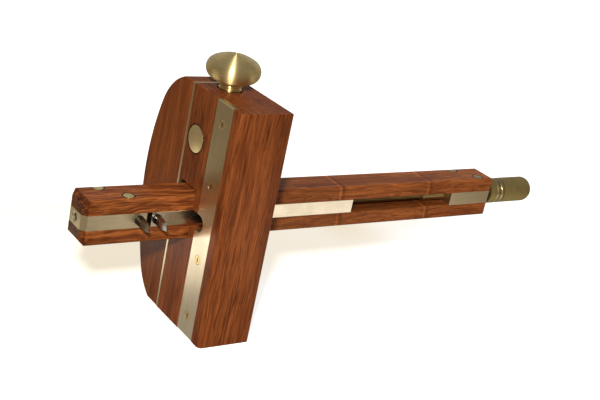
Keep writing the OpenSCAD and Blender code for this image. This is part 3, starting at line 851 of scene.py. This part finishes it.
def make_lock_knob():
    """An oval of three arcs, then a neck with a bead, and a collar that goes into the stock."""
    half, rim_r = 6.3, 4.6
    neck_r, bead_r = 3.86, 0.60
    reach = knob_high.x - rim_r
    crown_r = (reach ** 2 + half ** 2 - rim_r ** 2) / (2 * (half - rim_r))
    middle_z = knob_high.z - half
    turn = math.degrees(math.atan2(reach, crown_r - half))
    # Points of (height, radius), from the foot of the collar up
    profile = [(knob_low.z, 0), (knob_low.z, 3.4), (knob_low.z + 0.1, 3.5), (top_z + 0.26, 4.60),
               (top_z + 0.34, 4.68), (top_z + 0.42, 4.70), (top_z + 0.50, 4.64),
               (top_z + 0.70, 4.34), (top_z + 0.82, 3.98), (top_z + 1.0, neck_r),
               (top_z + 1.30, neck_r)]
    profile += [(top_z + 1.9 + b, 4.1 + a) for a, b in arc((0, 0), bead_r, -60, 60, 10)]
    profile += [(top_z + 2.46, 4.05)]
    under = [(middle_z - half + crown_r + b, a)
             for a, b in arc((0, 0), crown_r, -90, -90 + turn, 22)]
    under = [point for point in under if point[1] > 4.0]
    rim = [(middle_z + b, reach + a) for a, b in arc((0, 0), rim_r, -90 + turn, 90 - turn, 30)]
    cap = [(middle_z + half - crown_r + b, a)
           for a, b in arc((0, 0), crown_r, 90 - turn, 90, 22)]
    profile += under + rim[1:-1] + cap
    knob = spun("lock_knob_turned", profile, 2, (0, 0), 160)
    return stands_for(knob, "lock_knob", knob_brass)


# The stem

def stem_blank(name):
    """The whole stem, bevelled at its ends and eased along its edges."""
    blank = prism(name, bevelled_rect(stem_low.x, stem_high.x, side_y, -side_y, END_BEVEL),
                  2, stem_low.z, stem_high.z)
    others = [
        prism("ends", bevelled_rect(stem_low.x, stem_high.x, stem_low.z, stem_high.z, END_BEVEL),
              1, side_y - 1, 1 - side_y),
        prism("edges", bevelled_rect(side_y, -side_y, stem_low.z, stem_high.z, STEM_EASE),
              0, stem_low.x - 1, stem_high.x + 1)]
    return combine(blank, others, "INTERSECT")


def brass_layer(name, x0, x1, y1, gap=0.0):
    half = CHANNEL_H / 2 - gap
    return brick(name, (x0, side_y - 2, stem_z - half), (x1, y1, stem_z + half))


def pins(name, x, r):
    return [rod(name, 2, (x - PIN_STEP, back_pin_y), r, stem_low.z - 1, stem_high.z + 1),
            rod(name, 2, (x, front_pin_y), r, stem_low.z - 1, stem_high.z + 1)]


def make_stem_wood():
    stem = stem_blank("stem")
    cutters = [
        brass_layer("tip_slot", stem_low.x - 1, tip_block_high.x, THROUGH_Y),
        brass_layer("channel", tip_block_high.x - 0.5, tail_block_low.x + 0.5, CHANNEL_BACK_Y),
        brass_layer("tail_slot", tail_block_low.x, stem_high.x + 1, THROUGH_Y),
        *pins("pin_hole", tip_pin_x, PIN_D / 2 + RING_GAP),
        *pins("pin_hole", tail_pin_x, PIN_D / 2 + RING_GAP)]
    combine(stem, cutters)

    def share(middle):
        # Least where wood meets brass, a little at the open channel, most at the outer edges
        inside = abs(middle.z - stem_z) < CHANNEL_H / 2 + 0.3
        open_part = tip_block_high.x + 1 < middle.x < tail_block_low.x - 1
        if inside:
            return 0.5 if open_part and middle.y < side_y + 0.2 else 0.15
        if abs(abs(middle.z - stem_z) - (stem_high.z - stem_z)) < 0.1 and abs(middle.y) < 6.2:
            at_end = min(abs(middle.x - stem_low.x), abs(middle.x - stem_high.x)) < 3
            return 0.8 if at_end else 0.1
        return 0.8

    ease_edges(stem, 0.30, share, sharper_than=20)
    return stands_for(stem, "stem_wood", stem_finish)


def make_block_in_stem(name, node, reach, cutters, material):
    layer = brass_layer("layer", *reach, THROUGH_Y, PRESS_FIT / 2)
    block = combine(stem_blank(name), [layer], "INTERSECT")
    combine(block, cutters)
    ease_edges(block, 0.10, steps=2)
    return stands_for(block, node, material)


def make_tip_block():
    sunk = [(stem_low.x - 0.2, 0), (stem_low.x - 0.2, GRUB_R + SINK + 0.2),
            (stem_low.x + SINK, GRUB_R + PRESS_FIT), (fixed_cutter_x - 1, GRUB_R + PRESS_FIT),
            (fixed_cutter_x - 1, 0)]
    cutters = [
        spun("grub_hole", sunk, 0, (GRUB_Y, stem_z), 48),
        rod("cutter_hole", 1, (fixed_cutter_x, stem_z), CUTTER_D / 2 + HAIRLINE, side_y - 1,
            CHANNEL_BACK_Y + CLEARANCE),
        *pins("pin_hole", tip_pin_x, PIN_D / 2 + PRESS_FIT)]
    make_block_in_stem("tip_brass", "tip_block", (stem_low.x - 1, tip_block_high.x), cutters,
                       stem_brass)


def make_tail_block():
    cutters = [
        rod("lead_hole", 0, STEM_AXIS, LEAD_R + CLEARANCE, tail_block_low.x - 1,
            stem_high.x + 1),
        *pins("pin_hole", tail_pin_x, PIN_D / 2 + PRESS_FIT)]
    make_block_in_stem("tail_brass", "tail_block", (tail_block_low.x, stem_high.x + 1), cutters,
                       tail_brass)


def make_pins(node, x, bore, material):
    """Brass pins planed off with the stem, so those near its back lose a slice."""
    for number, pin in enumerate(pins(node + "_planed", x, PIN_D / 2 - RING_GAP / 2), 1):
        combine(pin, [stem_blank("blank")], "INTERSECT")
        combine(pin, [bore("bore")])
        pin.name = f"{node}_planed_{number}"
        ease_edges(pin, 0.07, steps=2)
        stands_for(pin, node, material)


def make_cutter(name, node, x, root_y, material):
    """A round cutter, ground from both sides to an edge that leans a little towards the tip."""
    cutter = rod(name, 1, (x, stem_z), CUTTER_D / 2, cutter_tip_y, root_y, 64)
    run, away = 10, 9
    spread = EDGE_T / 2 + run * math.tan(math.radians(BEVEL_ANGLE))
    centre = Matrix.Translation(Vector((x, 0, stem_z)) * MM)
    lean = centre @ Matrix.Rotation(math.radians(-EDGE_LEAN), 4, "Y") @ centre.inverted()
    grinds = []
    for way in (-1, 1):
        outline = [(x + way * EDGE_T / 2, cutter_tip_y - 2), (x + way * EDGE_T / 2, cutter_tip_y),
                   (x + way * spread, cutter_tip_y + run), (x + way * away, cutter_tip_y + run),
                   (x + way * away, cutter_tip_y - 2)]
        grind = prism("grind", outline, 2, stem_z - 6, stem_z + 6)
        grind.data.transform(lean)
        grinds.append(grind)
    combine(cutter, grinds)
    ease_edges(cutter, 0.05, steps=2)
    return stands_for(cutter, node, material)


def make_grub_screw():
    x0, x1 = grub_low.x, grub_high.x
    socket_r, socket_depth = 0.85, 1.8
    profile = [(x0, 0), (x0, GRUB_R - 0.3), (x0 + 0.3, GRUB_R), (x1 - 0.4, GRUB_R), (x1, 0.8),
               (x1, 0)]
    grub = spun("grub_screw", profile, 0, (GRUB_Y, stem_z), 48)
    six_sides = arc((GRUB_Y, stem_z), socket_r, 0, 300, 5)
    socket = prism("socket", six_sides, 0, x0 - 1, x0 + socket_depth)
    combine(grub, [socket])
    return stands_for(grub, "cutter_grub_screw", black_steel)


# The slide and the adjuster

def make_slide():
    slide = brick("slide", slide_low, slide_high)
    cutters = [
        rod("cutter_hole", 1, (moving_cutter_x, stem_z), CUTTER_D / 2 + HAIRLINE, side_y - 1,
            slide_high.y - 1),
        rod("lead_hole", 0, STEM_AXIS, LEAD_R + CLEARANCE, SLIDE_BORE_END, slide_high.x + 1)]
    combine(slide, cutters)
    ease_edges(slide, 0.14, steps=2)
    return stands_for(slide, "slide_bar", slide_brass)


def rippled(name, low, high, rings, steps, radius_at):
    """A tube along the stem's axis whose radius is a function of place and angle."""
    bm = bmesh.new()
    grid = []
    for i in range(rings + 1):
        x = low + (high - low) * i / rings
        row = []
        for j in range(steps):
            angle = 2 * math.pi * j / steps
            r = radius_at(x, angle)
            row.append(bm.verts.new((x, r * math.cos(angle), stem_z + r * math.sin(angle))))
        grid.append(row)
    for near, far in zip(grid, grid[1:]):
        for j in range(steps):
            k = (j + 1) % steps
            bm.faces.new((near[j], near[k], far[k], far[j]))
    bm.faces.new(grid[0])
    bm.faces.new(grid[-1])
    return mesh_piece(name, bm, 50)


def ridge(turns):
    """A ridge with a slightly rounded crest, 0 at its root and 1 at its crest."""
    part = abs((turns % 1.0) * 2 - 1)
    return min(1.0, part * 1.15) ** 1.1


def make_lead_screw():
    def radius_at(x, angle):
        threaded = x < sleeve_low.x - 1.5
        depth = THREAD_DEPTH if threaded else 0.0
        return LEAD_R - depth * (1 - ridge(x / THREAD_PITCH - angle / (2 * math.pi)))

    rings = int((sleeve_low.x - lead_low.x) / THREAD_PITCH * 7)
    thread = rippled("lead_thread", lead_low.x, sleeve_low.x + 0.5, rings, 36, radius_at)
    stands_for(thread, "lead_screw", thread_brass)
    shank = rod("lead_shank", 0, STEM_AXIS, LEAD_R, sleeve_low.x, lead_high.x, 48)
    stands_for(shank, "lead_screw", thread_brass)


def make_sleeve():
    r = sleeve_high.z - stem_z
    x0, x1 = sleeve_low.x, sleeve_high.x
    profile = [(x0, LEAD_R), (x0, r - 0.35), (x0 + 0.35, r), (x1 - 0.9, r), (x1 - 0.7, r - 0.2),
               (x1 - 0.5, r), (x1 - 0.2, r), (x1, r - 0.2), (x1, LEAD_R)]
    sleeve = spun("sleeve", profile, 0, STEM_AXIS, 72)
    return stands_for(sleeve, "thrust_sleeve", sleeve_brass)


def make_adjuster():
    """A knurled ring, a groove between two round beads, and a knurled barrel with a dome."""
    r = adjuster_high.z - stem_z
    x0 = adjuster_low.x
    knurls, knurl_depth, chamfer = 46, 0.12, 0.15
    dome_length = 4.6
    bead_r, bead_edge = 1.2, 35
    bead_half = bead_r * math.cos(math.radians(bead_edge))
    groove_start = x0 + GROOVE_X
    groove_end = groove_start + GROOVE_W
    groove_r = r - 0.9
    crests = (groove_start - bead_half, groove_end + bead_half)
    ring_end = crests[0] - bead_half - CLEARANCE
    barrel_start = crests[1] + bead_half + CLEARANCE
    dome_start = adjuster_high.x - dome_length

    def knurl(x, angle):
        cross = x / (2 * math.pi * r / knurls)
        turn = knurls * angle / (2 * math.pi)
        return knurl_depth * (1 - min(ridge(turn + cross), ridge(turn - cross)))

    def ring_at(x, angle):
        end = x - x0
        slope = max(0.0, chamfer - end)
        return r - slope - (knurl(x, angle) if end > chamfer else knurl_depth)

    def barrel_at(x, angle):
        over = max(0.0, x - dome_start) / dome_length
        dome = dome_length * (1 - math.sqrt(max(0.0, 1 - over * over)))
        flat = max(0.0, 1 - over * 1.6)
        return r - dome - knurl(x, angle) * flat

    ring = rippled("adjuster_ring", x0, ring_end, 40, 276, ring_at)
    barrel = rippled("adjuster_barrel", barrel_start, adjuster_high.x - 0.02, 230, 276, barrel_at)
    profile = [(ring_end - 0.2, 0), (ring_end - 0.2, r - 0.6)]
    for crest in crests:
        profile += [(crest + along, r - bead_r + out)
                    for out, along in arc((0, 0), bead_r, bead_edge - 90, 90 - bead_edge, 16)]
        if crest == crests[0]:
            profile += [(groove_start + 0.1, groove_r), (groove_end - 0.1, groove_r)]
    profile += [(barrel_start + 0.2, r - 0.6), (barrel_start + 0.2, 0)]
    beads = spun("adjuster_shoulders", profile, 0, STEM_AXIS, 120)
    stands_for(ring, "adjuster_knob", adjuster_brass)
    stands_for(barrel, "adjuster_knob", adjuster_brass)
    stands_for(beads, "adjuster_knob", bead_brass)


make_block()
make_cheek()
make_liner()
make_strip()
make_strip_screws()
make_nut()
make_pad()
make_lock_knob()
make_stem_wood()
make_tip_block()
make_tail_block()
make_pins("tip_pins", tip_pin_x,
          lambda name: rod(name, 0, (GRUB_Y, stem_z), GRUB_R + PRESS_FIT, stem_low.x - 1,
                           fixed_cutter_x), pin_brass)
make_pins("tail_pins", tail_pin_x,
          lambda name: rod(name, 0, STEM_AXIS, LEAD_R + CLEARANCE, tail_block_low.x,
                           stem_high.x + 1), dull_pin_brass)
make_cutter("fixed_cutter_ground", "fixed_cutter", fixed_cutter_x, CHANNEL_BACK_Y, brass_tinted_steel)
make_cutter("moving_cutter_ground", "moving_cutter", moving_cutter_x, slide_high.y - 1,
            cutter_steel)
make_grub_screw()
make_slide()
make_lead_screw()
make_sleeve()
make_adjuster()
keep_node("lock_screw", thread_brass)


# The stage, the lamp and the camera

FLOOR_HALF = 2500
FLOOR_T = 10
AMBIENT = 0.18
SKY_BEFORE, SKY_BEHIND = 0.30, 0.46
WARM_WHITE = (1.0, 0.99, 0.97)

floor = brick("floor", (-FLOOR_HALF, -FLOOR_HALF, -FLOOR_T), (FLOOR_HALF, FLOOR_HALF, 0))
floor.data.materials.append(across_floor())


def lamp(name, place, aim, size, power, colour):
    """A round lamp that stands at a place and shines at another, both in millimetres."""
    data = bpy.data.lights.new(name, "AREA")
    data.shape = "DISK"
    data.size = size * MM
    data.energy = power
    data.color = colour
    made = bpy.data.objects.new(name, data)
    bpy.context.scene.collection.objects.link(made)
    made.location = Vector(place) * MM
    made.rotation_mode = "QUATERNION"
    made.rotation_quaternion = (Vector(place) - Vector(aim)).to_track_quat("Z", "Y")
    return made


lamp("key", place=(-271, -344, 312), aim=(20, 0, 50), size=42, power=2.5, colour=WARM_WHITE)

world = bpy.data.worlds.new("studio")
bpy.context.scene.world = world
world.use_nodes = True
sky = Shade(world.node_tree)
direction = sky.add("TexCoord", output="Generated")
behind = sky.add("VectorMath", {"operation": "DOT_PRODUCT"},
                 {0: direction, 1: (0.55, 0.82, 0.0)}, "Value")
mirrored = sky.ease(behind, -0.1, 0.85, SKY_BEFORE, SKY_BEHIND)
camera_ray = sky.add("LightPath", output="Is Camera Ray")
glossy_ray = sky.add("LightPath", output="Is Glossy Ray")
strength = AMBIENT + glossy_ray * (mirrored - AMBIENT)
strength = strength + camera_ray * (1 - strength)
background = sky.add("Background", None, {"Color": WARM_WHITE, "Strength": strength})
sky.add("OutputWorld", None, {"Surface": background})

# Solved from the corners of the gauge in the photograph
CAMERA_AT = Vector((-240.0, -362.2, 226.6)) * MM
AZIMUTH, ELEVATION, ROLL = -38.352, 20.942, 12.195
FOCAL_LENGTH, SENSOR = 67.81, 36.0

azimuth, elevation = math.radians(AZIMUTH), math.radians(ELEVATION)
back = Vector((math.sin(azimuth) * math.cos(elevation), -math.cos(azimuth) * math.cos(elevation),
               math.sin(elevation)))
camera_data = bpy.data.cameras.new("camera")
camera_data.lens = FOCAL_LENGTH
camera_data.sensor_width = SENSOR
camera_data.clip_start = 0.01
camera_data.clip_end = 20
camera = bpy.data.objects.new("camera", camera_data)
bpy.context.scene.collection.objects.link(camera)
camera.location = CAMERA_AT
camera.rotation_mode = "QUATERNION"
camera.rotation_quaternion = (back.to_track_quat("Z", "Y")
                              @ Quaternion((0, 0, 1), math.radians(ROLL)))
bpy.context.scene.camera = camera
bpy.context.scene.view_settings.view_transform = "Standard"
